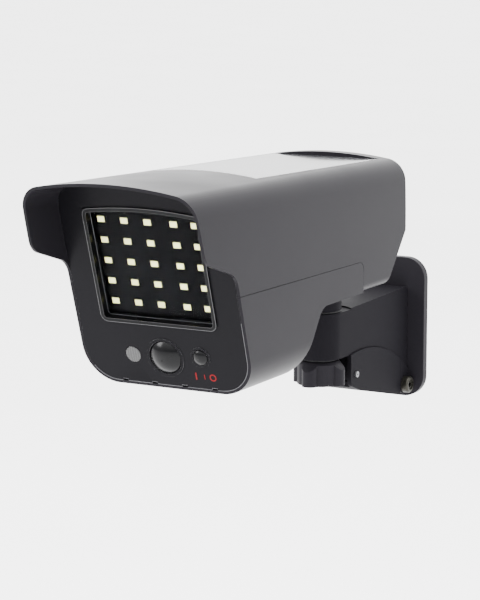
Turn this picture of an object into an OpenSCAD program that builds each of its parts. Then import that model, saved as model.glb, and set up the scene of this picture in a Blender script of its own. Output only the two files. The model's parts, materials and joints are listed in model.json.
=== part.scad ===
// Solar wall lamp with a motion sensor, in a housing shaped like a camera.
// Origin: the centre of the wall plate's back face. X runs across, +Y goes into the wall, +Z is up.

/* [Housing] */
// Half of the housing's width at the visor
front_half_w = 37.3; // [37:0.1:39]
// Half of the housing's width at its rear end
rear_half_w = 34; // [33:0.1:36]
// Height of the crown at the visor's edge
crown_front_z = 87.6; // [86:0.1:89]
// Height of the crown at the rear end
crown_rear_z = 83.3; // [82:0.1:85]
// Wall thickness of the housing
wall = 2.3; // [2:0.1:2.6]
// Thickness of the visor in front of the lamp face
visor_wall = 1.2; // [1:0.1:2]
// Lean of the lamp face and of the visor's edge, in degrees
rake = 17.3; // [15:0.1:19]
// How far the visor reaches in front of the lamp face
visor_reach = 20.7; // [16:0.1:23]

/* [Lamp face] */
// Lamps in a row and in a column
lamp_count = 5; // [3:1:5]
// Spacing of the lamps across the face
lamp_pitch_x = 10; // [9:0.1:10.5]
// Spacing of the lamps down the face
lamp_pitch_y = 8.38; // [7.5:0.01:8.6]
// Radius of the motion sensor's dome
dome_r = 6.7; // [6:0.1:8]
// Radius of the push button's cap
button_r = 3.1; // [2.8:0.1:4]
// Travel of the push button
button_travel = 0.6; // [0.3:0.1:0.6]

/* [Solar panel] */
// Width of the panel
panel_w = 48.6; // [44:0.1:49]
// Length of the panel
panel_l = 105; // [96:1:106]
// Solar cells in a row along the panel
cell_count = 6; // [4:1:8]

/* [Bracket] */
// Distance of the pan axis from the wall
pan_reach = 71; // [71:0.1:72]
// Radius of the arm's barrel
barrel_r = 10; // [9.5:0.1:10]
// Width of the wall plate
plate_w = 35.6; // [34:0.1:44]
// Height of the wall plate
plate_h = 62.6; // [60.5:0.1:66]
// Thickness of the wall plate
plate_t = 4; // [3.8:0.1:4]
// Spacing of the wall screws across the plate
wall_hole_dx = 10; // [8:0.1:11]
// Spacing of the wall screws up the plate
wall_hole_dz = 24; // [20:0.1:26]
// Radius of the wall screw holes
wall_hole_r = 2.2; // [2:0.1:2.5]
// Radius of the pivot screw's shank
pivot_r = 2; // [1.5:0.1:2.5]
// Reach of the clamp knob's lobes from its axis
knob_r = 11.8; // [11:0.1:13]

/* [Hidden] */
$fn = 64;

plastic = "#3b3a3d";
dark_plastic = "#2a292c";
gloss_black = "#141416";
steel = "#b4b4b8";

slack = 0.2;
run_fit = 0.05;

// Lamp face: the lamps' plane passes through face_y, face_z
face_y = -205;
face_z = 54.5;
face_front = 3.5;
bezel_t = 2.3;
face_bottom = 50;

// Housing along Y
visor_y = face_y - face_front * cos(rake) - visor_reach
    - (crown_front_z - face_z + face_front * sin(rake)) * tan(rake);
rear_y = -59;
rear_lean = 18;
rear_bend_z = 52;
seam_z = 45.2;
seam_drop = 1;
notch_y = -100;
floor_z = 31.3;
floor_r = 3.5;
belly_z = 5.7;
belly_r = 14;
tongue_half_w = 27;
tongue_top_z = 51.7;

// Cross-section of the housing
crown_r = 168;
side_r = 400;
side_z = 56.5;
shoulder_r = 9.5;

function lerp(a, b, t) = a + (b - a) * t;
function along(y) = (y - visor_y) / (rear_y - visor_y);
function half_w(y) = lerp(front_half_w, rear_half_w, along(y));
function crown_z(y) = lerp(crown_front_z, crown_rear_z, along(y));
function visor_edge_y(z) = visor_y - (z - crown_front_z) * tan(rake);
function face_edge_y(z) = face_y - face_front / cos(rake) - (z - face_z) * tan(rake);

// Points of an arc, and an outline [[x, y, radius], ...] with its corners rounded
function arc(c, r, a0, a1, n = 12) = [for (i = [0:n]) c + r * [cos(lerp(a0, a1, i / n)), sin(lerp(a0, a1, i / n))]];
function flat2(p) = [p[0], p[1]];
function turn(a) = a > 180 ? a - 360 : (a < -180 ? a + 360 : a);
function corner(a, b, c) = b[2] == 0 ? [flat2(b)] :
    let (u = (flat2(a) - flat2(b)) / norm(flat2(a) - flat2(b)))
    let (v = (flat2(c) - flat2(b)) / norm(flat2(c) - flat2(b)))
    let (half = acos(u * v) / 2)
    let (centre = flat2(b) + (u + v) / norm(u + v) * b[2] / sin(half))
    let (p = flat2(b) + u * b[2] / tan(half) - centre)
    let (q = flat2(b) + v * b[2] / tan(half) - centre)
    let (start = atan2(p[1], p[0]))
    arc(centre, b[2], start, start + turn(atan2(q[1], q[0]) - start));
function rounded(p) = [for (i = [0:len(p) - 1])
    each corner(p[(i + len(p) - 1) % len(p)], p[i], p[(i + 1) % len(p)])];

// Where two circles cross, on the right of the line between their centres
function crossing(p, rp, q, rq) =
    let (d = norm(q - p), u = (q - p) / d)
    let (a = (rp * rp - rq * rq + d * d) / (2 * d))
    p + a * u + sqrt(rp * rp - a * a) * [u[1], -u[0]];

// Outline of the housing across, inset by t: arched crown, round shoulders, full sides, round lower edges
function half_section(y, bottom, r, t) =
    let (w = half_w(y), top = [0, crown_z(y) - crown_r], side = [w - side_r, side_z])
    let (c = crossing(top, crown_r - shoulder_r, side, side_r - shoulder_r))
    let (a_top = atan2(c[1] - top[1], c[0] - top[0]), a_side = atan2(c[1] - side[1], c[0] - side[0]))
    concat(arc(top, crown_r - t, 90, a_top), arc(c, shoulder_r - t, a_top, a_side),
        arc(side, side_r - t, a_side, 0), arc([w - r, bottom + r], r - t, 0, -90));
function section(y, bottom, r, t) =
    let (p = half_section(y, bottom, r, t))
    concat(p, [for (i = [len(p) - 1:-1:1]) [-p[i][0], p[i][1]]]);

module across(y, points) {
    translate([0, y, 0])
        rotate([90, 0, 0])
            linear_extrude(0.02)
                polygon(points);
}

module sideways(points, w = 100) {
    rotate([90, 0, 90])
        linear_extrude(w, center = true)
            polygon(points);
}

module housing_bulk(bottom, r, t, y0, y1) {
    hull() {
        across(y0, section(y0, bottom, r, t));
        across(y1, section(y1, bottom, r, t));
    }
}

module upper_bulk(t = 0) {
    intersection() {
        housing_bulk(floor_z, floor_r, t, visor_y - 12, rear_y);
        sideways(rear_trim(t));
    }
}

module belly_bulk(t = 0) {
    intersection() {
        housing_bulk(belly_z, belly_r, t, visor_y, notch_y);
        sideways(belly_outline(t));
    }
}

// Everything in front of the rear end, which slopes in below its bend
rear_foot_y = rear_y - rear_lean;
function rear_trim(t) = [[visor_y - 20, 0], [rear_foot_y - t, 0], [rear_foot_y - t, floor_z + t * 0.4],
    [rear_y - t, rear_bend_z + t * 0.4], [rear_y - t, 100], [visor_y - 20, 100]];

// The room of the floor's tongue: level, then up the slope of the rear end to its bend
module tongue_room(half_w, gap) {
    translate([-half_w, notch_y - 8, 0])
        cube([2 * half_w, 100, tongue_top_z - gap]);
}

// Side outline of the belly: level below, and a sloping rear wall that sweeps up to the floor
function belly_outline(t) = rounded([[face_edge_y(belly_z + t) - 5, belly_z + t, 0], [-155.7 - t / 2, belly_z + t, 6],
    [-137.6 - t, floor_z + t, 9], [notch_y, floor_z + t, 0], [notch_y, seam_z, 0], [face_edge_y(seam_z) - 5, seam_z, 0]]);

// Side outline of the cover: visor, seam and notch
visor_tip_z = 60.1;
visor_root_z = 53.1;
cover_outline = rounded([[visor_edge_y(100), 100, 0], [visor_edge_y(visor_tip_z), visor_tip_z, 8],
    [face_edge_y(visor_root_z), visor_root_z, 9], [face_edge_y(seam_z), seam_z, 0],
    [notch_y, seam_z - seam_drop, 4], [notch_y, 0, 0], [rear_y + 1, 0, 0], [rear_y + 1, 100, 0]]);

// Side outline of the lower case, a hair below the seam
case_gap = 0.1;
case_outline = rounded([[face_edge_y(seam_z - case_gap), seam_z - case_gap, 0], [face_edge_y(0), 0, 0],
    [notch_y - case_gap, 0, 0], [notch_y - case_gap, seam_z - seam_drop - case_gap, 4]]);

// Places on the lamp face: x across, y up the face, z out of it
module on_face(x = 0, y = 0, z = 0) {
    translate([0, face_y, face_z])
        rotate([90 + rake, 0, 0])
            translate([x, y, z])
                children();
}

// Places on the solar panel: z = 0 is the glass
panel_y = -118.5;
panel_slope = atan2(crown_front_z - crown_rear_z, rear_y - visor_y);
panel_sink = 0.05;
panel_z = crown_z(panel_y) - pow(panel_w / 2, 2) / 2 / crown_r - panel_sink;
module on_panel(z = 0) {
    translate([0, panel_y, panel_z])
        rotate([-panel_slope, 0, 0])
            translate([0, 0, z])
                children();
}

module block(w, l, h) {
    translate([-w / 2, -l / 2, 0])
        cube([w, l, h]);
}

module tube_ring(r_out, r_in, h) {
    difference() {
        cylinder(r = r_out, h = h);
        translate([0, 0, -1])
            cylinder(r = r_in, h = h + 2);
    }
}

// A screw that points up: its head is below z = 0
module screw(r, length, head_r, head_h) {
    translate([0, 0, -0.1])
        cylinder(r = r, h = length + 0.1);
    difference() {
        translate([0, 0, -head_h])
            cylinder(r = head_r, h = head_h - 0.02);
        for (a = [0, 90])
            rotate(a)
                translate([-head_r * 0.6, -head_r * 0.12, -head_h - 1])
                    cube([head_r * 1.2, head_r * 0.24, 1 + head_h * 0.5]);
    }
}

// ---- Housing ----

glass_t = 1;
cell_t = 0.3;
backing_t = 1.6;
gasket_t = 0.6;
stack_t = glass_t + cell_t + backing_t + gasket_t;
ledge_t = 2;
ledge_w = 3.5;

module panel_pocket() {
    on_panel(-stack_t)
        block(panel_w + 2 * slack, panel_l + 2 * slack, 20);
    on_panel(-stack_t - ledge_t - 1)
        block(panel_w - 2 * ledge_w, panel_l - 2 * ledge_w, 20);
}

case_screw_spots = [[-28.6, -120], [28.6, -120], [-22, -84.5], [22, -84.5]];
boss_r = 4.2;
boss_z = 39;
boss_top_z = 60;
rib_l = 12;
screw_r = 1.45;
pilot_r = 1.25;
function boss_split_z(y) = y < notch_y ? seam_z - seam_drop - 0.5 : boss_z;

// Everything in front of the step that the bezel sits on
module bezel_seat() {
    on_face(0, 0, face_front - bezel_t - 0.05)
        translate([-60, -80, 0])
            cube([120, 160, 60]);
}

module top_cover() {
    color(plastic)
        difference() {
            union() {
                difference() {
                    upper_bulk();
                    upper_bulk(wall);
                    tongue_room(tongue_half_w, 0);
                }
                intersection() {
                    upper_bulk();
                    on_panel(-stack_t - ledge_t)
                        block(panel_w + 2 * wall, panel_l + 2 * wall, 20);
                }
                intersection() {
                    upper_bulk(wall - 0.2);
                    for (p = case_screw_spots)
                        translate([p[0], p[1], boss_z]) {
                            cylinder(r = boss_r, h = boss_top_z - boss_z);
                            rotate(p[0] < 0 ? 180 : 0)
                                translate([0, -1, 0])
                                    cube([rib_l, 2, boss_top_z - boss_z]);
                        }
                }
            }
            intersection() {
                upper_bulk(visor_wall);
                bezel_seat();
            }
            panel_pocket();
            for (p = case_screw_spots)
                translate([p[0], p[1], boss_z - 1])
                    cylinder(r = pilot_r, h = 18);
            difference() {
                translate([-60, visor_y - 30, -20])
                    cube([120, 250, 130]);
                sideways(cover_outline, 130);
            }
        }
}

post_bolt_r = 4;
neck_r = 9.3;
seat_t = 2.4;
stem_seat_z = 51.5;

module lower_case() {
    color(plastic)
        difference() {
            union() {
                intersection() {
                    difference() {
                        union() {
                            upper_bulk();
                            belly_bulk();
                        }
                        upper_bulk(wall);
                        belly_bulk(wall);
                    }
                    union() {
                        sideways(case_outline);
                        tongue_room(tongue_half_w - slack, slack);
                    }
                }
                intersection() {
                    upper_bulk();
                    union() {
                        on_pan(floor_z)
                            cylinder(r = neck_r + 2, h = stem_seat_z - floor_z);
                        for (p = case_screw_spots)
                            translate([p[0], p[1], floor_z])
                                cylinder(r = boss_r, h = boss_split_z(p[1]) - slack - floor_z);
                    }
                }
            }
            for (p = case_screw_spots)
                translate([p[0], p[1], 0]) {
                    cylinder(r = screw_r + run_fit, h = 60);
                    cylinder(r = 3, h = floor_z + 2);
                }
            intersection() {
                bezel_seat();
                union() {
                    upper_bulk(visor_wall);
                    belly_bulk(visor_wall);
                }
            }
            on_pan(0) {
                cylinder(r = post_bolt_r + run_fit, h = 60);
                cylinder(r = neck_r + run_fit, h = stem_seat_z - seat_t);
            }
            for (p = holder_screw_spots)
                translate([0, p, floor_z + 0.8])
                    cylinder(r = pilot_r - 0.3, h = 10);
        }
}

module case_screws() {
    color(steel)
        for (p = case_screw_spots)
            translate([p[0], p[1], floor_z + 2])
                screw(pilot_r - 0.03, 20, 2.7, 1.8);
}

// ---- Lamp face ----

frame_w = 50;
frame_top = 24.2;
frame_bottom = -23.6;
frame_corner = 3;
frame_bar = 1.5;
lower_y = -37;
button_x = 15.4;
button_y = -35.4;
light_x = -14;
light_r = 3.2;
clip_slots = [-19.5, -6.5, 6.5, 19.5];
clip_slot_y = -48.5;
board_post_r = 2.3;
led_board_w = 57;
led_board_h = 48;
chip_h = 0.75;
led_post = [26.4, 21.7];
control_w = 52;
control_h = 19;
control_y = -35.5;
control_z = -6.4;
board_t = 1.6;
control_post_x = 23.5;
control_post_dy = 7;

module bezel_posts(r, z0, z1) {
    for (x = [-1, 1])
        for (y = [-1, 1]) {
            on_face(x * led_post[0], y * led_post[1], max(z0, 0.02 - chip_h))
                cylinder(r = r, h = z1 - max(z0, 0.02 - chip_h));
            on_face(x * control_post_x, control_y + y * control_post_dy, z0)
                cylinder(r = r, h = z1 - z0);
        }
}

module front_bezel() {
    rear = face_front - bezel_t;
    color(dark_plastic)
        difference() {
            union() {
                intersection() {
                    on_face(0, 0, rear)
                        translate([-50, -60, 0])
                            cube([100, 110, bezel_t]);
                    union() {
                        upper_bulk(visor_wall + slack / 2);
                        belly_bulk(visor_wall + slack / 2);
                    }
                }
                on_face(0, lower_y, face_front - 0.5)
                    tube_ring(dome_r + 1.2, dome_r + 0.2, 0.8);
                on_face(button_x, button_y, face_front - 0.5)
                    tube_ring(button_r + 1, button_r + 0.2, 0.8);
                bezel_posts(board_post_r, control_z + board_t + 0.02, rear + 0.01);
            }
            on_face(0, 0, -10)
                linear_extrude(20)
                    frame_shape(-0.1);
            on_face(0, lower_y, -1)
                cylinder(r = dome_r + 0.1, h = 10);
            on_face(button_x, button_y, -1)
                cylinder(r = button_r + 0.08, h = 10);
            on_face(light_x, lower_y, -1)
                cylinder(r = light_r + 0.1, h = 10);
            for (x = clip_slots)
                on_face(x, clip_slot_y, -1)
                    block(2.4, 1.2, 10);
            bezel_posts(0.8, control_z, 2.2);
        }
}

// Outline of the lamp frame, inset by t: round corners, and a top arched like the crown
module frame_shape(t) {
    x = frame_w / 2 - t;
    r = frame_corner - t;
    intersection() {
        polygon(rounded([[-x, frame_bottom + t, r], [x, frame_bottom + t, r], [x, frame_top, r], [-x, frame_top, r]]));
        translate([0, frame_top - crown_r])
            circle(r = crown_r - t, $fn = 256);
    }
}

module lens_frame() {
    color(gloss_black)
        on_face(0, 0, 0.02 - chip_h)
            linear_extrude(4.2 + chip_h)
                difference() {
                    frame_shape(0);
                    frame_shape(frame_bar);
                }
}

module lamp_lens() {
    color("#cfd4d8", 0.4)
        on_face(0, 0, 0.7)
            linear_extrude(1.2)
                frame_shape(frame_bar + 0.05);
}

module led_board() {
    color("#15161a")
        difference() {
            on_face(0, 0, -chip_h - board_t)
                block(led_board_w, led_board_h, board_t);
            for (x = [-1, 1])
                for (y = [-1, 1])
                    on_face(x * led_post[0], y * led_post[1], -5)
                        cylinder(r = 1.1, h = 10);
        }
}

module led_chips() {
    last = (lamp_count - 1) / 2;
    color("#f0e6b4")
        for (i = [-last:last])
            for (j = [-last:last])
                on_face(i * lamp_pitch_x + (i == 1 ? 1.1 : 0), j * lamp_pitch_y, -chip_h)
                    block(3.5, 2.8, chip_h);
}

dome_z = 3.3;
dome_rise = 3;
module pir_dome() {
    flange_z = face_front - bezel_t - 1;
    ball_r = (dome_r * dome_r + dome_rise * dome_rise) / (2 * dome_rise);
    ball_z = dome_z + dome_rise - ball_r;
    color(gloss_black)
        on_face(0, lower_y, 0)
            difference() {
                union() {
                    intersection() {
                        translate([0, 0, ball_z])
                            sphere(r = ball_r, $fn = 128);
                        translate([0, 0, dome_z - 0.1])
                            cylinder(r = dome_r, h = dome_rise + 1);
                    }
                    translate([0, 0, flange_z])
                        cylinder(r = dome_r, h = dome_z - flange_z);
                    translate([0, 0, flange_z])
                        cylinder(r = dome_r + 1.5, h = 0.95);
                }
                intersection() {
                    translate([0, 0, ball_z])
                        sphere(r = ball_r - 1, $fn = 128);
                    translate([0, 0, flange_z])
                        cylinder(r = dome_r - 1, h = 10);
                }
                translate([0, 0, flange_z - 1])
                    cylinder(r = dome_r - 1, h = 2);
            }
}

board_top_z = control_z + board_t;
module pir_sensor() {
    color(steel)
        on_face(0, lower_y, board_top_z) {
            cylinder(r = 4.6, h = 0.5);
            cylinder(r = 4.1, h = 4.1);
        }
}

module light_window() {
    color("#8d8d90")
        on_face(light_x, lower_y, 0) {
            translate([0, 0, 0.4])
                cylinder(r = light_r + 0.8, h = 0.75);
            translate([0, 0, 0.4])
                cylinder(r = light_r, h = 3.3);
        }
}

module photocell() {
    color("#d8b07a")
        on_face(light_x, lower_y, board_top_z) {
            for (x = [-1.2, 1.2])
                translate([x, 0, 0])
                    cylinder(r = 0.25, h = 2.5);
            translate([0, 0, 2.4])
                cylinder(r = 2.5, h = 1.9);
        }
}

switch_h = 3.5;
switch_top_z = board_top_z + switch_h;
button_tip_z = switch_top_z + button_travel + 0.2;
module power_button() {
    rear = face_front - bezel_t;
    cap_h = 4;
    cap_rise = 1.3;
    ball_r = (button_r * button_r + cap_rise * cap_rise) / (2 * cap_rise);
    color(gloss_black)
        on_face(button_x, button_y, 0) {
            translate([0, 0, button_tip_z])
                cylinder(r = 1.5, h = rear - button_tip_z);
            translate([0, 0, rear - 0.8])
                cylinder(r = button_r + 0.9, h = 0.7);
            translate([0, 0, rear - 0.8])
                cylinder(r = button_r, h = cap_h - rear + 0.8);
            intersection() {
                translate([0, 0, cap_h + cap_rise - ball_r])
                    sphere(r = ball_r, $fn = 96);
                translate([0, 0, cap_h - 0.1])
                    cylinder(r = button_r, h = 5);
            }
        }
}

module tact_switch() {
    color("#1c1c1e")
        on_face(button_x, button_y, board_top_z)
            difference() {
                block(6, 6, switch_h);
                translate([0, 0, 0.8])
                    cylinder(r = 1.9, h = 5);
            }
}

module switch_plunger() {
    depth = 1.2;
    color("#caa63c")
        on_face(button_x, button_y, switch_top_z - depth)
            cylinder(r = 1.7, h = button_tip_z - switch_top_z + depth);
}

module control_board() {
    color("#1f5a3a")
        difference() {
            on_face(0, control_y, control_z)
                block(control_w, control_h, board_t);
            for (x = [-1, 1])
                for (y = [-1, 1])
                    on_face(x * control_post_x, control_y + y * control_post_dy, control_z - 2)
                        cylinder(r = 1.1, h = 10);
        }
}

// Parts on the back of the control board: [x, y, width, length, height]
chips = [[-14, 1, 5, 6, 1.5], [-4, -4, 4, 5, 1.2], [8, 4, 9, 6, 7], [16, -4, 4, 4, 1.6], [-15, -6, 3, 1.6, 1]];
module board_components() {
    color("#26262a") {
        for (c = chips)
            on_face(c[0], control_y + c[1], control_z - c[4])
                block(c[2], c[3], c[4]);
        on_face(1.5, control_y + 4, control_z - 7)
            cylinder(r = 2.5, h = 7);
        on_face(6, control_y - 4, control_z - 4)
            cylinder(r = 3, h = 4);
    }
}

module board_screws() {
    color(steel)
        for (x = [-1, 1])
            for (y = [-1, 1]) {
                on_face(x * led_post[0], y * led_post[1], -chip_h - board_t)
                    screw(0.78, 4, 1.9, 1.2);
                on_face(x * control_post_x, control_y + y * control_post_dy, control_z)
                    screw(0.78, 5, 1.9, 1.2);
            }
}

// ---- Battery ----

cell_r = 9.1;
cell_l = 65;
holder_y = -124.5;
holder_l = 77;
holder_w = 22;
holder_h = 14;
holder_z = floor_z + wall + 0.05;
holder_floor = 2.6;
holder_head_h = 1;
cell_z = holder_z + holder_floor + cell_r + 0.3;
holder_end = 2.5;
holder_screw_spots = [-128, -100];

module battery_holder() {
    color(dark_plastic)
        translate([0, holder_y, holder_z])
            difference() {
                block(holder_w, holder_l, holder_h);
                translate([0, holder_l / 2 - holder_end, cell_z - holder_z])
                    rotate([90, 0, 0])
                        cylinder(r = cell_r + 0.3, h = holder_l - 2 * holder_end);
                translate([0, 0, cell_z - holder_z])
                    block(2 * cell_r + 0.6, holder_l - 2 * holder_end, 20);
                for (y = holder_screw_spots)
                    translate([0, y - holder_y, -1]) {
                        cylinder(r = 1, h = 10);
                        translate([0, 0, 1 + holder_floor - holder_head_h - 0.1])
                            cylinder(r = 2, h = 10);
                    }
            }
}

module battery_cell() {
    color("#2f6fb0")
        translate([0, holder_y, cell_z])
            rotate([90, 0, 0])
                translate([0, 0, -cell_l / 2]) {
                    cylinder(r = cell_r, h = cell_l - 1);
                    cylinder(r = 3, h = cell_l);
                }
}

module battery_contacts() {
    inside = holder_l / 2 - holder_end;
    spring_l = inside - cell_l / 2 - 0.6;
    color(steel)
        for (s = [-1, 1])
            translate([0, holder_y + s * inside, cell_z])
                rotate([s * 90, 0, 0]) {
                    translate([-4, -4, 0.05])
                        cube([8, 8, 0.5]);
                    translate([0, 0, 0.5])
                        tube_ring(2.6, 1.8, spring_l);
                }
}

module holder_screws() {
    color(steel)
        for (y = holder_screw_spots)
            translate([0, y, holder_z + holder_floor - holder_head_h - 0.08])
                rotate([180, 0, 0])
                    screw(0.9, 3, 1.8, holder_head_h);
}

// ---- Solar panel ----

module solar_glass() {
    color("#5b6672", 0.5)
        on_panel(-glass_t)
            block(panel_w, panel_l, glass_t);
}

module solar_cells() {
    pitch = (panel_l - 6) / cell_count;
    color("#20304a")
        on_panel(-glass_t - cell_t)
            for (x = [-1, 1])
                for (i = [0:cell_count - 1])
                    translate([x * panel_w / 4 * 0.95, -panel_l / 2 + 3 + pitch * (i + 0.5), 0])
                        block(panel_w / 2 - 2.4, pitch - 1, cell_t);
}

module solar_backing() {
    color("#e6e6e2")
        on_panel(-glass_t - cell_t - backing_t)
            block(panel_w, panel_l, backing_t);
}

module panel_gasket() {
    color("#111112")
        on_panel(-stack_t)
            difference() {
                block(panel_w, panel_l, gasket_t);
                translate([0, 0, -1])
                    block(panel_w - 2 * ledge_w, panel_l - 2 * ledge_w, 5);
            }
}

// ---- Bracket ----

barrel_top_z = 16.6;
barrel_bottom_z = -3;
spigot_r = 5;
washer_t = 0.8;
neck_z = barrel_top_z + washer_t + 0.1;
knob_top_z = -4.2;
knob_bottom_z = -14.3;
nut_h = 6.5;

module on_pan(z = 0) {
    translate([0, -pan_reach, z])
        children();
}

module pan_stem() {
    thread_end_z = knob_bottom_z + 2;
    color(plastic) {
        on_pan(neck_z)
            cylinder(r = neck_r, h = stem_seat_z - seat_t - 0.02 - neck_z);
        on_pan(barrel_bottom_z)
            cylinder(r = spigot_r, h = neck_z - barrel_bottom_z + 0.01);
        on_pan(thread_end_z)
            cylinder(r = post_bolt_r, h = stem_seat_z + nut_h + 2 - thread_end_z);
    }
}

module stem_nut() {
    color(steel)
        on_pan(stem_seat_z + 0.05)
            difference() {
                cylinder(r = 7.5, h = nut_h, $fn = 6);
                translate([0, 0, -1])
                    cylinder(r = post_bolt_r + 0.02, h = nut_h + 2);
            }
}

module friction_washer() {
    color("#111112")
        on_pan(barrel_top_z + 0.05)
            tube_ring(9, spigot_r + 0.3, washer_t - 0.05);
}

module knob_washer() {
    color(steel)
        on_pan(barrel_bottom_z - 1)
            tube_ring(7.6, post_bolt_r + 0.1, 0.9);
}

// Clamp knob: four lobes with hollows between them, and a flared shoulder
module clamp_knob() {
    lobe_r = 3.4;
    shoulder_h = 3.6;
    height = knob_top_z - knob_bottom_z;
    color(dark_plastic)
        on_pan(knob_bottom_z)
            difference() {
                intersection() {
                    linear_extrude(height)
                        difference() {
                            union() {
                                circle(r = knob_r - lobe_r + 0.9);
                                for (a = [0:90:270])
                                    rotate(a)
                                        translate([knob_r - lobe_r, 0])
                                            circle(r = lobe_r);
                                for (a = [0, 90])
                                    rotate(a)
                                        square([2 * (knob_r - lobe_r), 2 * lobe_r], center = true);
                            }
                            for (a = [45:90:315])
                                rotate(a)
                                    translate([knob_r + 3.6, 0])
                                        circle(r = 6.2);
                        }
                    union() {
                        cylinder(r = knob_r + 1, h = height - shoulder_h);
                        translate([0, 0, height - shoulder_h])
                            cylinder(r1 = knob_r + 0.1, r2 = 8.2, h = shoulder_h);
                    }
                }
                translate([0, 0, 1.5])
                    cylinder(r = post_bolt_r + run_fit, h = height);
            }
}

// Bracket arm: side outline above the arch, and the rear tongue that carries the pivot
arm_half_w = 10;
arm_wall = 2.2;
arm_rib_t = 2.2;
arm_rear_y = -plate_t - 0.6;
arm_top_rear_z = 18.6;
arch_r = 75;
arch_y = -51;
arch_z = -2;
pivot_y = -8.5;
pivot_z = -25;
lug_half = 4.8;
lug_r = 4;
cheek_in = lug_half + 0.3;
cheek_r = -pivot_y - plate_t - 0.4;

plate_corner_r = 9.5;

cover_half_w = 10.7;
cover_wall = 1.8;
front_tab_y = -58.4;
cover_screw_y = -57;
tab_half_w = cover_half_w - cover_wall - 0.1;
cover_screw_z = -12;

module arm_side(inset) {
    sideways(rounded([[-pan_reach - barrel_r, barrel_top_z - inset, 0],
        [arm_rear_y - inset, arm_top_rear_z - inset, 2], [arm_rear_y - inset, -24, 0], [-pan_reach - barrel_r, -24, 0]]),
        2 * (arm_half_w - inset));
}

module arch_cut(r) {
    translate([0, arch_y, arch_z - arch_r])
        rotate([0, 90, 0])
            cylinder(r = r, h = 40, center = true, $fn = 128);
}

module along_pivot(x0, x1, r) {
    translate([x0, pivot_y, pivot_z])
        rotate([0, 90, 0])
            cylinder(r = r, h = x1 - x0);
}

// The shaft hole of the barrel, and the room above and below it
module barrel_bore() {
    on_pan(barrel_bottom_z - 1)
        cylinder(r = spigot_r + run_fit, h = 40);
    on_pan(barrel_top_z)
        cylinder(r = 14, h = 20);
    translate([-20, -pan_reach - 20, barrel_bottom_z - 30])
        cube([40, pan_reach + 20 + front_tab_y, 30]);
}

// The arm's shell, barrel, cheeks for the pivot screw, middle rib and screw tab
module bracket_arm() {
    color(plastic)
        difference() {
            union() {
                difference() {
                    arm_side(0);
                    arm_side(arm_wall);
                    arch_cut(arch_r);
                    translate([-20, -pan_reach - 20, -40])
                        cube([40, 20, 80]);
                }
                on_pan(barrel_bottom_z)
                    cylinder(r = barrel_r, h = barrel_top_z - barrel_bottom_z);
                for (s = [0, 1])
                    mirror([s, 0, 0]) {
                        along_pivot(cheek_in, cover_half_w, cheek_r);
                        translate([cheek_in, pivot_y - cheek_r, pivot_z])
                            cube([arm_half_w - 0.3 - cheek_in, arm_rear_y - pivot_y + cheek_r, -pivot_z - 4]);
                        intersection() {
                            arch_cut(arch_r - 0.1);
                            translate([cheek_in, pivot_y - cheek_r, pivot_z])
                                cube([cover_half_w - cheek_in, arm_rear_y - pivot_y + cheek_r, 20]);
                        }
                    }
                on_pan(barrel_bottom_z)
                    translate([-arm_rib_t / 2, 6, 0])
                        cube([arm_rib_t, pan_reach - 10, 9]);
                translate([-tab_half_w, front_tab_y, cover_screw_z - 2.8])
                    cube([2 * tab_half_w, 3, 2.8 - cover_screw_z]);
            }
            along_pivot(-20, 20, pivot_r + 0.02);
            translate([2, cover_screw_y, cover_screw_z])
                rotate([0, 90, 0])
                    cylinder(r = 1.02, h = 20);
            barrel_bore();
        }
}

// Arm cover: closes the arm from below, a little narrower than the arm
module arm_cover_bulk(t) {
    intersection() {
        sideways(rounded([[-62.1 + t, 10, 0], [-62.1 + t, -16.2 + t, 3], [-52, -20.1 + t, 40],
            [pivot_y, -29.8 + t, 0], [pivot_y, 10, 0]]), 2 * (cover_half_w - t));
        arch_cut(arch_r - 0.1);
    }
}

module arm_cover() {
    color(plastic)
        difference() {
            arm_cover_bulk(0);
            translate([0, 0, 0.01])
                arm_cover_bulk(cover_wall);
            translate([-cover_half_w + cover_wall, -62 + cover_wall, -10])
                cube([2 * (cover_half_w - cover_wall), 62, 20]);
            translate([-cover_half_w + cover_wall, front_tab_y - 20, -40])
                cube([2 * (cover_half_w - cover_wall), 20.2, 60]);
            translate([-20, pivot_y - cheek_r - 0.1, -60])
                cube([40, 40, 80]);
            translate([2, cover_screw_y, cover_screw_z])
                rotate([0, 90, 0])
                    cylinder(r = 1.15, h = 20);
            translate([cover_half_w - 0.4, cover_screw_y, cover_screw_z])
                rotate([0, 90, 0])
                    cylinder(r = 1.5, h = 20);
        }
}

module cover_screw() {
    color(steel)
        translate([cover_half_w - 0.35, cover_screw_y, cover_screw_z])
            rotate([0, -90, 0])
                screw(1, 6.5, 1.3, 1.1);
}

module rounded_plate(w, h, t, r) {
    rotate([90, 0, 0])
        linear_extrude(t)
            union() {
                square([w - 2 * r, h], center = true);
                square([w, h - 2 * r], center = true);
                for (x = [-1, 1])
                    for (z = [-1, 1])
                        translate([x * (w / 2 - r), z * (h / 2 - r)])
                            circle(r = r);
            }
}

// The plate has a lug in the middle, which the arm's cheeks straddle
module wall_plate() {
    color(plastic)
        difference() {
            union() {
                rounded_plate(plate_w, plate_h, plate_t, plate_corner_r);
                along_pivot(-lug_half, lug_half, lug_r);
                translate([-lug_half, pivot_y, pivot_z - lug_r])
                    cube([2 * lug_half, -pivot_y - 1, 2 * lug_r]);
            }
            along_pivot(-20, 20, pivot_r + run_fit);
            for (x = [-1, 1])
                for (z = [-1, 1])
                    translate([x * wall_hole_dx / 2, 0.5, z * wall_hole_dz / 2])
                        rotate([90, 0, 0]) {
                            cylinder(r = wall_hole_r, h = 20);
                            translate([0, 0, plate_t + 0.5 - 1.8])
                                cylinder(r1 = wall_hole_r, r2 = wall_hole_r + 1.8, h = 1.81);
                        }
        }
}

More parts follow.
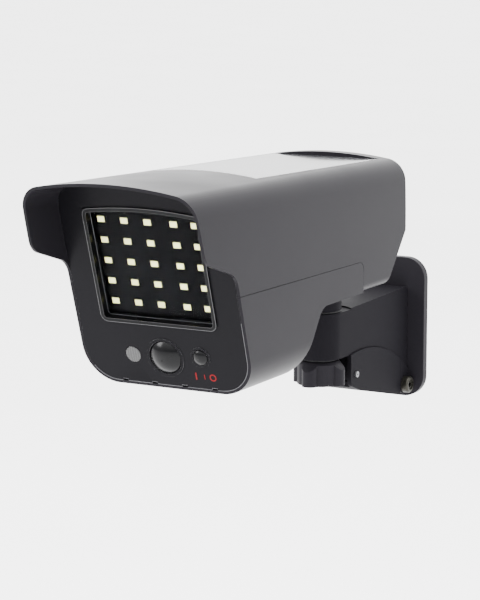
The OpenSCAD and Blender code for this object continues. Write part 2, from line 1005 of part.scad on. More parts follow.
module pivot_screw() {
    color("#6a6658")
        difference() {
            union() {
                along_pivot(-cover_half_w - 4.2, cover_half_w + 0.1, pivot_r);
                along_pivot(cover_half_w + 0.05, cover_half_w + 2.5, 3.7);
                translate([cover_half_w + 2.49, pivot_y, pivot_z])
                    rotate([0, 90, 0])
                        cylinder(r1 = 3.7, r2 = 3.2, h = 0.7);
            }
            along_pivot(cover_half_w + 2.7, cover_half_w + 8, 2.3);
            translate([cover_half_w + 1.2, pivot_y, pivot_z])
                rotate([0, 90, 0])
                    cylinder(r = 1.3, h = 5, $fn = 6);
        }
}

module pivot_nut() {
    color(steel)
        difference() {
            translate([-cover_half_w - 3.25, pivot_y, pivot_z])
                rotate([0, 90, 0])
                    cylinder(r = 4.04, h = 3.2, $fn = 6);
            along_pivot(-20, -5, pivot_r + 0.02);
        }
}

top_cover();
lower_case();
front_bezel();
lens_frame();
lamp_lens();
led_board();
led_chips();
pir_dome();
pir_sensor();
light_window();
photocell();
power_button();
switch_plunger();
tact_switch();
control_board();
board_components();
board_screws();
battery_holder();
battery_cell();
battery_contacts();
holder_screws();
solar_glass();
solar_cells();
solar_backing();
panel_gasket();
case_screws();
pan_stem();
stem_nut();
friction_washer();
knob_washer();
clamp_knob();
bracket_arm();
arm_cover();
cover_screw();
wall_plate();
pivot_screw();
pivot_nut();
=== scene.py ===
import bpy
import bmesh
import json
import math
from mathutils import Matrix, Vector


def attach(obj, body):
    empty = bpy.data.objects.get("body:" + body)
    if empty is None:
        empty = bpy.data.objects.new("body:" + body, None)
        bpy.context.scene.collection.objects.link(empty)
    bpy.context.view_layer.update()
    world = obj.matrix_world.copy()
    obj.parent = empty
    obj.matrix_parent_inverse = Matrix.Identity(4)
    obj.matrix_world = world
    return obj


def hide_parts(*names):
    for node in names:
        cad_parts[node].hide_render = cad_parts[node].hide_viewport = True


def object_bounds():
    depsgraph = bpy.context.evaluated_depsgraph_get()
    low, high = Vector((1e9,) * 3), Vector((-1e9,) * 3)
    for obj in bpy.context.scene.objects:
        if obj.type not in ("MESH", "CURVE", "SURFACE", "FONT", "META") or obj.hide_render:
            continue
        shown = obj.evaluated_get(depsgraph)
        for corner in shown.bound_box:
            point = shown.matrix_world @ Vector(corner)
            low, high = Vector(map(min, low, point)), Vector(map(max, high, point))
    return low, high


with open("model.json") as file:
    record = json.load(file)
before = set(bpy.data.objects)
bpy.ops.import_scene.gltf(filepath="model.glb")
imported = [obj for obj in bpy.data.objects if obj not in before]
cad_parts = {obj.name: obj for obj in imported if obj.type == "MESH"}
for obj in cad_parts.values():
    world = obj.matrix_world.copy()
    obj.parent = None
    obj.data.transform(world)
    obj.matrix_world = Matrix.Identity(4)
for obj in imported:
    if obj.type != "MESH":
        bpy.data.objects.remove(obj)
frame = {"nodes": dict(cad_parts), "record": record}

CAD_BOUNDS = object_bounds()
NODES = frame["nodes"]
BODY = {n: b for b, ns in frame["record"]["behaviour"]["bodies"].items() for n in ns}
SLOT = {s["node"]: s["material_slot"] for s in frame["record"]["subparts"]}
MM = 0.001
RAKE = math.radians(17.3)  # the face leans back from the visor down
LAMP_CENTRE = (0, -205, 54.5)  # middle of the lamps' plane, in mm
NORMAL = Vector((0, -math.cos(RAKE), -math.sin(RAKE)))
FACE = Matrix.Translation([v * MM for v in LAMP_CENTRE]) @ Matrix.Rotation(math.radians(90) + RAKE, 4, "X")
FACE_FRONT = 3.5  # the face plate and the housing's rim stand this far above the lamps' plane, in mm
AXIS_Z = 0.045  # height of the housing's middle, in metres

# ------------------------------------------------------------------ materials


class Mat:
    """A node material, with short ways to add the nodes it needs."""

    def __init__(self, name):
        self.m = bpy.data.materials.new(name)
        self.m.use_nodes = True
        self.t = self.m.node_tree
        self.b = self.t.nodes["Principled BSDF"]
        self.coord = self.t.nodes.new("ShaderNodeTexCoord").outputs["Object"]

    def node(self, kind, **values):
        n = self.t.nodes.new(kind)
        for k, v in values.items():
            setattr(n, k, v)
        return n

    def link(self, a, b):
        self.t.links.new(a, b)

    def noise(self, scale, detail=3.0, rough=0.5, stretch=None):
        n = self.node("ShaderNodeTexNoise")
        n.inputs["Scale"].default_value = scale
        n.inputs["Detail"].default_value = detail
        n.inputs["Roughness"].default_value = rough
        if stretch:
            mp = self.node("ShaderNodeMapping")
            mp.inputs["Scale"].default_value = stretch
            self.link(self.coord, mp.inputs["Vector"])
            self.link(mp.outputs["Vector"], n.inputs["Vector"])
        else:
            self.link(self.coord, n.inputs["Vector"])
        return n.outputs["Fac"]

    def ramp(self, fac, stops):
        r = self.node("ShaderNodeValToRGB")
        e = r.color_ramp.elements
        while len(e) < len(stops):
            e.new(0.5)
        for el, (pos, col) in zip(e, stops):
            el.position = pos
            el.color = (*col, 1.0)
        self.link(fac, r.inputs["Fac"])
        return r.outputs["Color"]

    def span(self, fac, lo, hi, a=0.3, b=0.7):
        r = self.node("ShaderNodeMapRange")
        r.inputs["From Min"].default_value = a
        r.inputs["From Max"].default_value = b
        r.inputs["To Min"].default_value = lo
        r.inputs["To Max"].default_value = hi
        self.link(fac, r.inputs["Value"])
        return r.outputs["Result"]

    def bump(self, fac, strength, distance):
        n = self.node("ShaderNodeBump")
        n.inputs["Strength"].default_value = strength
        n.inputs["Distance"].default_value = distance
        self.link(fac, n.inputs["Height"])
        return n.outputs["Normal"]

    def put(self, **sockets):
        for k, v in sockets.items():
            s = self.b.inputs[k.replace("_", " ")]
            if isinstance(v, bpy.types.NodeSocket):
                self.link(v, s)
            else:
                s.default_value = v
        return self


def tint(c, k):
    return tuple(min(1.0, x * k) for x in c)


def varied(m, fac, colour, dark, bright):
    """The colour, wandering between a darker and a brighter tone of itself."""
    return m.ramp(fac, [(0.3, tint(colour, dark)), (0.7, tint(colour, bright))])


def plastic(name, colour, rough, grain=0.18, spread=0.06, shine=0.3):
    """Moulded plastic with a fine grain."""
    m = Mat(name)
    broad = m.noise(22.0, 3.0, 0.55)
    fine = m.noise(2600.0, 2.0, 0.6)
    m.put(Base_Color=varied(m, broad, colour, 1 - spread, 1 + spread),
          Roughness=m.span(broad, rough - 0.04, rough + 0.04),
          Normal=m.bump(fine, grain, 0.00005), Specular_IOR_Level=shine)
    return m.m


def ribbed(name, colour):
    """Moulded ribs across a frosted window."""
    m = Mat(name)
    wave = m.node("ShaderNodeTexWave")
    wave.inputs["Scale"].default_value = 300.0
    wave.inputs["Distortion"].default_value = 1.5
    m.link(m.coord, wave.inputs["Vector"])
    rib = wave.outputs["Fac"]
    m.put(Base_Color=m.ramp(rib, [(0.2, tint(colour, 0.75)), (0.8, tint(colour, 1.5))]),
          Roughness=m.span(rib, 0.2, 0.35), Normal=m.bump(rib, 0.3, 0.0002))
    return m.m


def gloss(name, colour, rough, coat=0.0, shine=0.3):
    """A smooth, faintly wavy surface, with a clear coat where it has one."""
    m = Mat(name)
    wave = m.noise(45.0, 2.0, 0.5)
    m.put(Base_Color=varied(m, wave, colour, 0.85, 1.15),
          Roughness=m.span(wave, rough * 0.7, rough * 1.4), Normal=m.bump(wave, 0.02, 0.0003),
          Coat_Weight=coat, Coat_Roughness=0.03, Specular_IOR_Level=shine)
    return m.m


def add_painted_glow(material, colour, strength):
    """The same material with a painted glow: emission that stands in for light falling on it."""
    b = material.node_tree.nodes["Principled BSDF"]
    b.inputs["Emission Color"].default_value = (*colour, 1.0)
    b.inputs["Emission Strength"].default_value = strength
    return material


def metal(name, colour, rough=0.28):
    """Metal with fine level lines."""
    m = Mat(name)
    lines = m.noise(350.0, 4.0, 0.6, stretch=(1, 1, 30))
    broad = m.noise(90.0)
    m.put(Base_Color=varied(m, broad, colour, 0.85, 1.1), Metallic=1.0,
          Roughness=m.span(lines, rough * 0.75, rough * 1.3), Normal=m.bump(lines, 0.12, 0.00003))
    return m.m


def board(name, colour):
    """The matt, slightly speckled mask of a circuit board."""
    m = Mat(name)
    spots = m.noise(900.0, 4.0, 0.7)
    broad = m.noise(60.0)
    m.put(Base_Color=varied(m, broad, colour, 0.8, 1.25), Roughness=m.span(broad, 0.38, 0.5),
          Normal=m.bump(spots, 0.08, 0.00004), Specular_IOR_Level=0.01)
    return m.m


def clear(name, tone, rough, share, ior=1.45, haze=0.0):
    """A thin clear sheet: what is behind it shows straight through, under a soft reflection.
    share is how much of the reflection stays, and haze how milky the sheet is."""
    m = Mat(name)
    smear = m.noise(60.0, 2.0)
    m.t.nodes.remove(m.b)
    see = m.node("ShaderNodeBsdfTransparent")
    m.link(m.ramp(smear, [(0.3, tint(tone, 0.96)), (0.7, tone)]), see.inputs["Color"])
    shine = m.node("ShaderNodeBsdfGlossy")
    m.link(m.span(smear, rough * 0.6, rough * 1.5), shine.inputs["Roughness"])
    milk = m.node("ShaderNodeBsdfDiffuse")
    m.link(m.ramp(smear, [(0.3, (0.5, 0.51, 0.53)), (0.7, (0.56, 0.57, 0.59))]), milk.inputs["Color"])
    body = m.node("ShaderNodeMixShader")
    body.inputs["Fac"].default_value = haze
    m.link(see.outputs["BSDF"], body.inputs[1])
    m.link(milk.outputs["BSDF"], body.inputs[2])
    edge = m.node("ShaderNodeFresnel")
    edge.inputs["IOR"].default_value = ior
    dim = m.node("ShaderNodeMath", operation="MULTIPLY")
    dim.inputs[1].default_value = share
    m.link(edge.outputs["Fac"], dim.inputs[0])
    mix = m.node("ShaderNodeMixShader")
    m.link(dim.outputs["Value"], mix.inputs["Fac"])
    m.link(body.outputs["Shader"], mix.inputs[1])
    m.link(shine.outputs["BSDF"], mix.inputs[2])
    m.link(mix.outputs["Shader"], m.t.nodes["Material Output"].inputs["Surface"])
    return m.m


# The record's slots first, then shades of them that only the looks need
M = {
    "housing": plastic("housing_plastic", (0.0086, 0.0080, 0.0098), 0.34, grain=0.1, spread=0.05, shine=0.03),
    "face": plastic("face_plastic", (0.0042, 0.0040, 0.0050), 0.36, grain=0.14, spread=0.07, shine=0.035),
    "gloss_black": gloss("gloss_black", (0.0030, 0.0030, 0.0035), 0.20, shine=0.12),
    "clear": clear("clear_window", (0.97, 0.98, 0.99), 0.05, share=0.02),
    "panel_glass": clear("panel_glass", (0.6, 0.62, 0.64), 0.12, share=0.8, ior=1.5, haze=0.05),
    "lamp_board": board("lamp_board_mask", (0.0008, 0.0008, 0.0011)),
    # The lamps are switched off: their phosphor's faint emission is a painted glow standing in for light on
    # it
    "lamp": add_painted_glow(gloss("lamp_phosphor", (0.90, 0.85, 0.34), 0.4, shine=0.2), (1.0, 0.94, 0.36), 1.1),
    "lamp_case": plastic("lamp_case_dark", (0.016, 0.016, 0.012), 0.45, grain=0.05, shine=0.05),
    "diffuser": ribbed("diffuser_grey", (0.0075, 0.0075, 0.008)),
    "sensor": plastic("sensor_ceramic", (0.6, 0.36, 0.2), 0.5),
    "switch_body": plastic("switch_black", (0.015, 0.015, 0.016), 0.45),
    "switch_tip": plastic("switch_tip_ochre", (0.5, 0.32, 0.06), 0.4),
    "control_board": board("control_board_mask", (0.012, 0.09, 0.045)),
    "chips": plastic("chip_black", (0.016, 0.016, 0.018), 0.5),
    "steel": metal("zinc_steel", (0.62, 0.62, 0.64)),
    "dull_steel": metal("dull_steel", (0.20, 0.20, 0.21), 0.5),
    "dark_pin": metal("dark_zinc", (0.030, 0.029, 0.025), 0.50),
    "cell": gloss("cell_sleeve", (0.03, 0.14, 0.42), 0.2),
    "solar": gloss("solar_silicon", (0.012, 0.020, 0.045), 0.16, coat=0.5),
    "backing": plastic("backing_laminate", (0.62, 0.62, 0.60), 0.5),
    "rubber": plastic("rubber_black", (0.010, 0.010, 0.011), 0.75, grain=0.3),
    "bracket": plastic("bracket_plastic", (0.0064, 0.0060, 0.0074), 0.55,
                       grain=0.14, spread=0.08, shine=0.012),
    # Far lighter than the face plastic: a painted highlight for the bezel's round edges
    "edge": plastic("face_edge_painted_highlight", (0.10, 0.10, 0.105), 0.25, grain=0.05, spread=0.05, shine=0.5),
    "frame_black": gloss("frame_black", (0.0022, 0.0022, 0.0026), 0.3, shine=0.06),
    "seam_dark": plastic("seam_dark", (0.0006, 0.0006, 0.0007), 0.8, grain=0.05, spread=0.05, shine=0.0),
    # Light grey beads on the lens frame's edges: painted highlights
    "bead": gloss("painted_highlight_grey", (0.065, 0.065, 0.069), 0.2, shine=0.4),
    "mark": plastic("mark_red", (0.13, 0.006, 0.007), 0.5, grain=0.05, shine=0.05),
    # A lighter copy of the bracket plastic for the wall plate and knob: painted light on their faces
    "bracket_painted_lighter": plastic("bracket_plastic_painted_lighter", (0.0100, 0.0092, 0.0114), 0.5,
                             grain=0.14, spread=0.08, shine=0.04),
    # Light grey bead along the bezel's rim: a painted highlight line
    "painted_highlight_line": plastic("painted_highlight_line", (0.055, 0.055, 0.060), 0.3, grain=0.05, spread=0.05),
}

# ------------------------------------------------------------------ mesh helpers

CREASE = math.radians(30)  # a sharper edge than this isn't smoothed over
MERGE = 0.002 * MM  # points closer than this are one point
FLAT = math.radians(0.35)  # faces that meet flatter than this become one face
WIDEST = 2.0  # the bevel, in mm, that an edge of full weight gets


def add(name, mesh, body, mat):
    o = bpy.data.objects.new(name, mesh)
    bpy.context.scene.collection.objects.link(o)
    mesh.materials.clear()
    mesh.materials.append(M[mat])
    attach(o, body)
    return o


def bevel(o, width, segments, method):
    b = o.modifiers.new("bevel", "BEVEL")
    b.width = width * MM
    b.segments = segments
    b.limit_method = method
    b.angle_limit = CREASE + math.radians(4)
    b.harden_normals = True
    b.miter_outer = "MITER_ARC"


def paint_edge_highlight(o, mat):
    """The narrow round edges take their own lighter, shinier material, a painted highlight along them."""
    o.data.materials.append(M[mat])
    o.modifiers["bevel"].material = 1


def shade(bm):
    for f in bm.faces:
        f.smooth = True
    for e in bm.edges:
        if len(e.link_faces) == 2:
            e.smooth = e.calc_face_angle(0.0) < CREASE


def from_cad(node, width, mat, soft):
    """A finished copy of a CAD node: merged flat faces, smooth curves, and round edges width mm wide.
    soft(middle, normals) gives an edge's own width in mm, or None for the usual one."""
    me = bpy.data.meshes.new(node + "_fine")
    bm = bmesh.new()
    bm.from_mesh(NODES[node].data)
    bmesh.ops.remove_doubles(bm, verts=bm.verts, dist=MERGE)
    bmesh.ops.dissolve_limit(bm, angle_limit=FLAT, verts=bm.verts, edges=bm.edges)
    shade(bm)
    if soft:
        layer = bm.edges.layers.float.new("bevel_weight_edge")
        for e in bm.edges:
            if len(e.link_faces) == 2 and not e.smooth:
                middle = (e.verts[0].co + e.verts[1].co) / 2 / MM
                own = soft(middle, [f.normal for f in e.link_faces])
                e[layer] = (width if own is None else own) / WIDEST
    bm.to_mesh(me)
    bm.free()
    o = add(node + "_fine", me, BODY[node], mat or SLOT[node])
    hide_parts(node)
    if soft:
        bevel(o, WIDEST, 4, "WEIGHT")
    else:
        bevel(o, width, 3, "ANGLE")
    return o


# ------------------------------------------------------------------ finished copies of the CAD nodes

# Places on the pieces, in mm, that tell one edge from another
VISOR_TIP_Y = -212  # the visor's tip lies in front of this
ARCH_Y, ARCH_TOP, ARCH_SPREAD = -51, -2.5, 140  # a parabola close to the bracket's arch
COVER_FRONT_Y, COVER_SIDE_X = -61.5, 10.5
PIVOT_Y, PIVOT_Z = -8.5, -25
SCREW_HEAD_X, RECESS_REACH = 12.5, 3  # the screw's head is beyond this x, its recess within this radius


def face_depth(p):
    """Height of a point above the lamps' plane, in mm."""
    return (Vector(p) - Vector(LAMP_CENTRE)).dot(NORMAL)


def rim_edge(p, normals):
    """The housing's rim around the face is well rounded on the outside and crisp on the inside."""
    on_rim = abs(face_depth(p) - FACE_FRONT) < 0.2
    if on_rim and (abs(p.x) > 30 or p.z < 20):
        outer = any(abs(n.dot(NORMAL)) < 0.5 and (n.x * p.x > 0.2 or n.z < -0.3) for n in normals)
        return 1.1 if outer else 0.15
    return None


def visor_edge(p, normals):
    """The visor's tip is a little rounder than the rest of the cover."""
    return 0.45 if p.y < VISOR_TIP_Y else None


def cover_edge(p, normals):
    """The arm cover's arched shoulder is a wide round."""
    arch = ARCH_TOP - (p.y - ARCH_Y) ** 2 / ARCH_SPREAD
    on_arch = p.z > arch - 1.5 and p.y > COVER_FRONT_Y
    return 1.7 if on_arch and abs(p.x) > COVER_SIDE_X else None


def head_edge(p, normals):
    """The pivot screw's head is domed."""
    outside = (p.y - PIVOT_Y) ** 2 + (p.z - PIVOT_Z) ** 2 > RECESS_REACH ** 2
    return 1.3 if p.x > SCREW_HEAD_X and outside else None


SOFT = {"pivot_screw": head_edge, "lower_case": rim_edge, "top_cover": visor_edge, "arm_cover": cover_edge}
USUAL_WIDTH = 0.12
WIDTHS = {"top_cover": 0.34, "lower_case": 0.34, "front_bezel": 0.35, "lens_frame": 0.45, "wall_plate": 1.6,
          "bracket_arm": 0.8, "arm_cover": 0.6, "clamp_knob": 0.8, "pan_stem": 0.3, "power_button": 0.3,
          "pir_dome": 0.15, "solar_glass": 0.2, "pivot_screw": 0.2, "cover_screw": 0.2,
          "friction_washer": 0.2, "knob_washer": 0.15, "light_window": 0.25}
MATS = {"solar_glass": "panel_glass", "lens_frame": "frame_black", "wall_plate": "bracket_painted_lighter",
        "clamp_knob": "bracket_painted_lighter", "cover_screw": "dull_steel", "knob_washer": "rubber",
        "friction_washer": "rubber"}
for node in NODES:
    if node != "led_chips":
        piece = from_cad(node, WIDTHS.get(node, USUAL_WIDTH), MATS.get(node), SOFT.get(node))
        if node == "front_bezel":
            paint_edge_highlight(piece, "edge")


# ------------------------------------------------------------------ pieces on the face, in mm


def box_mesh(bm, x, y, z0, z1, w, h, chamfer, inset):
    """A box from z0 up to z1. Over the chamfer's height its sides draw in by inset."""

    def ring(half_w, half_h, z):
        corners = ((-1, -1), (1, -1), (1, 1), (-1, 1))
        return [bm.verts.new((x + sx * half_w, y + sy * half_h, z)) for sx, sy in corners]

    low = ring(w / 2, h / 2, z0)
    mid = ring(w / 2, h / 2, z1 - chamfer)
    top = ring(w / 2 - inset, h / 2 - inset, z1)
    for ring_a, ring_b in ((low, mid), (mid, top)):
        for i in range(4):
            bm.faces.new((ring_a[i], ring_a[(i + 1) % 4], ring_b[(i + 1) % 4], ring_b[i]))
    bm.faces.new(top)
    bm.faces.new(low[::-1])


def face_piece(name, build, mat):
    """A piece of the head that build(bm) draws on the face."""
    me = bpy.data.meshes.new(name)
    bm = bmesh.new()
    build(bm)
    bmesh.ops.transform(bm, matrix=FACE @ Matrix.Scale(MM, 4), verts=bm.verts)
    bmesh.ops.recalc_face_normals(bm, faces=bm.faces)
    shade(bm)
    bm.to_mesh(me)
    bm.free()
    return add(name, me, "head", mat)


COLUMN_PITCH, ROW_PITCH = 10, 8.38
COLUMN_SHIFT = {1: 1.1}  # the photo's fourth column sits a little to the right of its place
LAMPS = [(i * COLUMN_PITCH + COLUMN_SHIFT.get(i, 0), j * ROW_PITCH)
         for i in range(-2, 3) for j in range(-2, 3)]
CASE_W, CASE_H, CASE_WALL = 3.5, 2.8, 0.26
BOARD_Z = -0.75


def lamp_cases(bm):
    """A base and four walls for each lamp."""
    for x, y in LAMPS:
        box_mesh(bm, x, y, BOARD_Z, -0.2, CASE_W, CASE_H, 0.05, 0.05)
        for side in (-1, 1):
            wall_x = x + side * (CASE_W - CASE_WALL) / 2
            wall_y = y + side * (CASE_H - CASE_WALL) / 2
            box_mesh(bm, wall_x, y, BOARD_Z, -0.05, CASE_WALL, CASE_H, 0.04, 0.04)
            box_mesh(bm, x, wall_y, BOARD_Z, -0.05, CASE_W, CASE_WALL, 0.04, 0.04)


def lamp_phosphor(bm):
    """The yellow filling between each lamp's walls."""
    for x, y in LAMPS:
        box_mesh(bm, x, y, -0.3, -0.02, CASE_W - 2 * CASE_WALL, CASE_H - 2 * CASE_WALL, 0.12, 0.25)


cases = face_piece("lamp_cases", lamp_cases, "lamp_case")
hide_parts("led_chips")
phosphor = face_piece("lamp_phosphor", lamp_phosphor, "lamp")


FRAME_HALF, FRAME_LOW, FRAME_TOP = 25, -23.6, 24.2
FRAME_CORNER, FRAME_ARCH = 3, 168  # radii of the frame's corners and of its top
CORNER_STEPS, ARCH_STEPS = 10, 16


def frame_line(inset):
    """The lamp frame's outline, drawn in by inset: round corners and an arched top."""
    r = FRAME_CORNER - inset
    side = FRAME_HALF - inset - r
    foot = FRAME_LOW + inset + r
    centre = FRAME_TOP - inset - FRAME_ARCH
    shoulder = centre + math.sqrt((FRAME_ARCH - inset) ** 2 - side ** 2) + inset - r
    pts = []

    def corner(x, y, start):
        for i in range(CORNER_STEPS + 1):
            a = math.radians(start + 90 * i / CORNER_STEPS)
            pts.append(Vector((x + r * math.cos(a), y + r * math.sin(a), 0)))

    corner(side, foot, -90)
    corner(side, shoulder, 0)
    for i in range(1, ARCH_STEPS):
        x = side * (1 - 2 * i / ARCH_STEPS)
        pts.append(Vector((x, centre + math.sqrt(FRAME_ARCH ** 2 - x * x), 0)))
    corner(-side, shoulder, 90)
    corner(-side, foot, 180)
    return pts


BEAD_SIDES = 6


def section(bm, p, side, up, radius):
    """One round section of a bead at p, as a ring of points."""
    turns = [2 * math.pi * k / BEAD_SIDES for k in range(BEAD_SIDES)]
    return [bm.verts.new(p + side * radius * math.cos(a) + up * radius * math.sin(a)) for a in turns]


def skin(bm, rings, following):
    """Faces between each section of a bead and the one that follows it."""
    for a, b in zip(rings, following):
        for k in range(BEAD_SIDES):
            after = (k + 1) % BEAD_SIDES
            bm.faces.new((a[k], a[after], b[after], b[k]))


def closed_bead(bm, pts, z, radius):
    """A bead all along the closed line pts, at height z."""
    rings = []
    for i, p in enumerate(pts):
        d = (pts[(i + 1) % len(pts)] - pts[i - 1]).normalized()
        rings.append(section(bm, p + Vector((0, 0, z)), Vector((d.y, -d.x, 0)), Vector((0, 0, 1)), radius))
    skin(bm, rings, rings[1:] + rings[:1])


def frame_highlight_ridges(bm):
    """Light grey beads on the frame's outer and inner edge, and just inside the pane's edge: painted
    highlights along those edges.
    """
    closed_bead(bm, frame_line(0.12), 4.16, 0.11)
    closed_bead(bm, frame_line(1.42), 4.18, 0.05)
    closed_bead(bm, frame_line(1.66), 1.2, 0.13)


bead = face_piece("lens_frame_highlight_beads", frame_highlight_ridges, "bead")


# ------------------------------------------------------------------ beads along CAD edges

SHORTEST = 0.01  # metres: a shorter line of edges gets no bead


def chains(edges):
    """Edges joined end to end, as lists of points."""
    left = {tuple(sorted((e.verts[0].index, e.verts[1].index))): (e.verts[0], e.verts[1]) for e in edges}
    out = []
    while left:
        a, b = left.pop(next(iter(left)))
        line = [a, b]
        grown = True
        while grown:
            grown = False
            for key, (p, q) in list(left.items()):
                for one, two in ((p, q), (q, p)):
                    if one == line[-1]:
                        line.append(two)
                    elif one == line[0]:
                        line.insert(0, two)
                    else:
                        continue
                    del left[key]
                    grown = True
                    break
        out.append([v.co.copy() for v in line])
    return out


def open_bead(bm, pts, radius):
    """A bead along the open line pts, in metres, with both ends closed."""
    rings = []
    for i, p in enumerate(pts):
        d = (pts[min(i + 1, len(pts) - 1)] - pts[max(i - 1, 0)]).normalized()
        rings.append(section(bm, p, d.cross(NORMAL).normalized(), NORMAL, radius))
    skin(bm, rings, rings[1:])
    bm.faces.new(rings[0])
    bm.faces.new(rings[-1][::-1])


def edge_piece(name, node, test, radius, sink, mat):
    """A thin bead along those edges of a CAD node that test(front, side, middle) picks.
    It is sunk towards the housing's middle by sink, in mm."""
    source = bmesh.new()
    source.from_mesh(NODES[node].data)
    bmesh.ops.remove_doubles(source, verts=source.verts, dist=MERGE)
    source.verts.index_update()
    picked = []
    for e in source.edges:
        if len(e.link_faces) == 2:
            f, g = e.link_faces
            middle = (e.verts[0].co + e.verts[1].co) / 2
            if test(f.normal, g.normal, middle) or test(g.normal, f.normal, middle):
                picked.append(e)
    me = bpy.data.meshes.new(name)
    bm = bmesh.new()
    for line in chains(picked):
        if sum((b - a).length for a, b in zip(line, line[1:])) > SHORTEST:
            centre = Vector((0, line[0].y, AXIS_Z))
            open_bead(bm, [p + (centre - p).normalized() * sink * MM for p in line], radius * MM)
    source.free()
    shade(bm)
    bm.to_mesh(me)
    bm.free()
    add(name, me, BODY[node], mat)


def bezel_rim(front, side, middle):
    """Where the bezel's edge meets the housing's rim, on the right and below."""
    outward = side.dot(middle - Vector((0, middle.y, AXIS_Z))) > 0
    below = middle.z < 12 * MM
    right = middle.x > 24 * MM and middle.z < 42 * MM
    square = front.dot(NORMAL) > 0.97 and abs(side.dot(NORMAL)) < 0.3
    return square and outward and (below or right)


def seam(top, side, middle):
    """The lower case's top edge along its two sides, which close in slightly towards the rear."""
    half_width = 34.5 * MM - (middle.y + 240 * MM) * 0.01
    side_wall = abs(side.x) > 0.75 and side.x * middle.x > 0
    at_seam = 40 * MM < middle.z < 53 * MM and abs(middle.x) > half_width
    return side_wall and abs(top.x) < 0.5 and at_seam


# A light bead along the bezel's rim, right and below: a painted highlight line
edge_piece("bezel_edge_line", "front_bezel", bezel_rim, 0.13, 0.0, "painted_highlight_line")
edge_piece("seam_shadow", "lower_case", seam, 0.16, 0.12, "seam_dark")


MARKS_Y = -43.5
BAR_X, DIVIDER_X, RING_X = 12.2, 15.85, 19.4
RING_RADII = (0.95, 1.45)
RING_STEPS = 48


def marks(bm):
    """Red marks under the button: a bar and a ring, the usual signs for on and off, and a divider."""
    low = FACE_FRONT + 0.01
    high = low + 0.05
    box_mesh(bm, BAR_X, MARKS_Y, low, high, 0.55, 2.9, 0.01, 0.01)
    box_mesh(bm, DIVIDER_X, MARKS_Y, low, high, 0.3, 2.0, 0.01, 0.01)
    turns = [2 * math.pi * i / RING_STEPS for i in range(RING_STEPS)]
    inner, outer = [[bm.verts.new((RING_X + r * math.cos(a), MARKS_Y + r * math.sin(a), high)) for a in turns]
                    for r in RING_RADII]
    for i in range(RING_STEPS):
        after = (i + 1) % RING_STEPS
        bm.faces.new((inner[i], inner[after], outer[after], outer[i]))


red = face_piece("switch_marks", marks, "mark")

# ------------------------------------------------------------------ stage

FLOOR_DROP = 0.30  # the lamp hangs on a wall, and tilted down it reaches well below its rest
FLOOR_HALF, FLOOR_STEP = 30, 5

floor_me = bpy.data.meshes.new("floor")
bm = bmesh.new()
low = CAD_BOUNDS[0][2] - FLOOR_DROP
steps = range(-FLOOR_HALF, FLOOR_HALF + 1, FLOOR_STEP)
grid = [[bm.verts.new((x, y, low)) for y in steps] for x in steps]
for a, b in zip(grid, grid[1:]):
    for i in range(len(a) - 1):
        bm.faces.new((a[i], b[i], b[i + 1], a[i + 1]))
bm.to_mesh(floor_me)
bm.free()
floor = bpy.data.objects.new("floor", floor_me)
bpy.context.scene.collection.objects.link(floor)
fm = Mat("floor_paper")
paper = fm.ramp(fm.noise(3.0), [(0.3, (0.92, 0.92, 0.92)), (0.7, (0.95, 0.95, 0.95))])
fm.put(Base_Color=paper, Roughness=0.9)
floor_me.materials.append(fm.m)

# The sky is bright above and behind the lamp, and dark low down in front of it
SKY_DARK, SKY_BRIGHT, SKY_FULL = 0.06, 5.0, 0.6
# A faint patch is added behind the lamp, as the camera sees it
GLOW, GLOW_DIRECTION, GLOW_EDGE, GLOW_FULL = 0.5, (-0.48, 0.86, 0.17), 0.72, 0.97

world = bpy.data.worlds.new("studio")
bpy.context.scene.world = world
world.use_nodes = True
wt = world.node_tree


def world_node(kind, **sockets):
    n = wt.nodes.new(kind)
    for name, value in sockets.items():
        n.inputs[name.replace("_", " ")].default_value = value
    return n


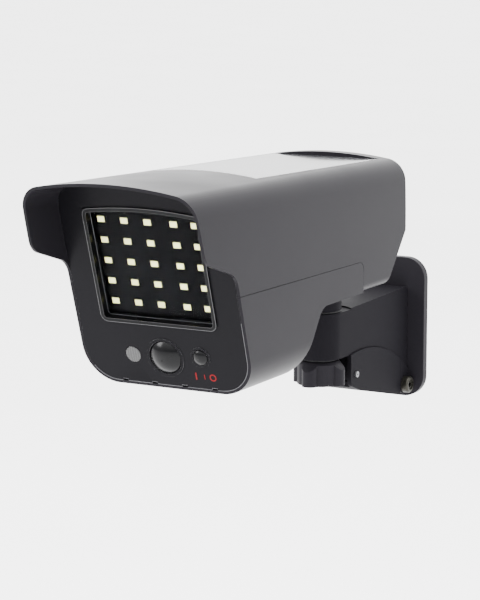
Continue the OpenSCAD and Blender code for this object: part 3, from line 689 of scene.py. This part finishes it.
sky = world_node("ShaderNodeTexCoord")
axes = world_node("ShaderNodeSeparateXYZ")
lift = world_node("ShaderNodeMath")
lift.operation = "MAXIMUM"
level = world_node("ShaderNodeMapRange", From_Min=0.0, From_Max=SKY_FULL, To_Min=SKY_DARK, To_Max=SKY_BRIGHT)
glow = world_node("ShaderNodeVectorMath")
glow.operation = "DOT_PRODUCT"
glow.inputs[1].default_value = GLOW_DIRECTION
patch = world_node("ShaderNodeMapRange", From_Min=GLOW_EDGE, From_Max=GLOW_FULL, To_Max=GLOW)
both = world_node("ShaderNodeMath")
background = wt.nodes["Background"]
background.inputs["Color"].default_value = (1.0, 1.0, 1.0, 1.0)
for source, target in (
        (sky.outputs["Generated"], axes.inputs["Vector"]),
        (axes.outputs["Y"], lift.inputs[0]),
        (axes.outputs["Z"], lift.inputs[1]),
        (lift.outputs["Value"], level.inputs["Value"]),
        (sky.outputs["Generated"], glow.inputs[0]),
        (glow.outputs["Value"], patch.inputs["Value"]),
        (level.outputs["Result"], both.inputs[0]),
        (patch.outputs["Result"], both.inputs[1]),
        (both.outputs["Value"], background.inputs["Strength"])):
    wt.links.new(source, target)


def softbox(name, where, at, size, power):
    d = bpy.data.lights.new(name, "AREA")
    d.energy = power
    d.size = size
    d.shape = "RECTANGLE"
    d.size_y = size
    o = bpy.data.objects.new(name, d)
    o.location = where
    o.rotation_euler = (Vector(at) - Vector(where)).to_track_quat("-Z", "Y").to_euler()
    bpy.context.scene.collection.objects.link(o)


MID = (0, -0.13, 0.05)
softbox("top", (-0.1, 0.3, 1.3), MID, 1.4, 34)
softbox("key", (-0.9, -0.9, 0.7), MID, 0.6, 24)
softbox("fill", (1.3, -0.5, 0.5), MID, 0.9, 6)

# The photo's viewpoint
CAMERA_AT = (0.4344, -0.9220, 0.1828)
CAMERA_FORWARD = (-0.4788, 0.8620, -0.1668)
CAMERA_UP = (-0.0810, 0.1458, 0.9860)

cam_data = bpy.data.cameras.new("camera")
cam_data.lens = 138
cam_data.sensor_width = 36
cam = bpy.data.objects.new("camera", cam_data)
bpy.context.scene.collection.objects.link(cam)
fwd = Vector(CAMERA_FORWARD).normalized()
right = fwd.cross(Vector(CAMERA_UP)).normalized()
rot = Matrix((right, right.cross(fwd), -fwd)).transposed()
cam.matrix_world = Matrix.Translation(CAMERA_AT) @ rot.to_4x4()
bpy.context.scene.camera = cam
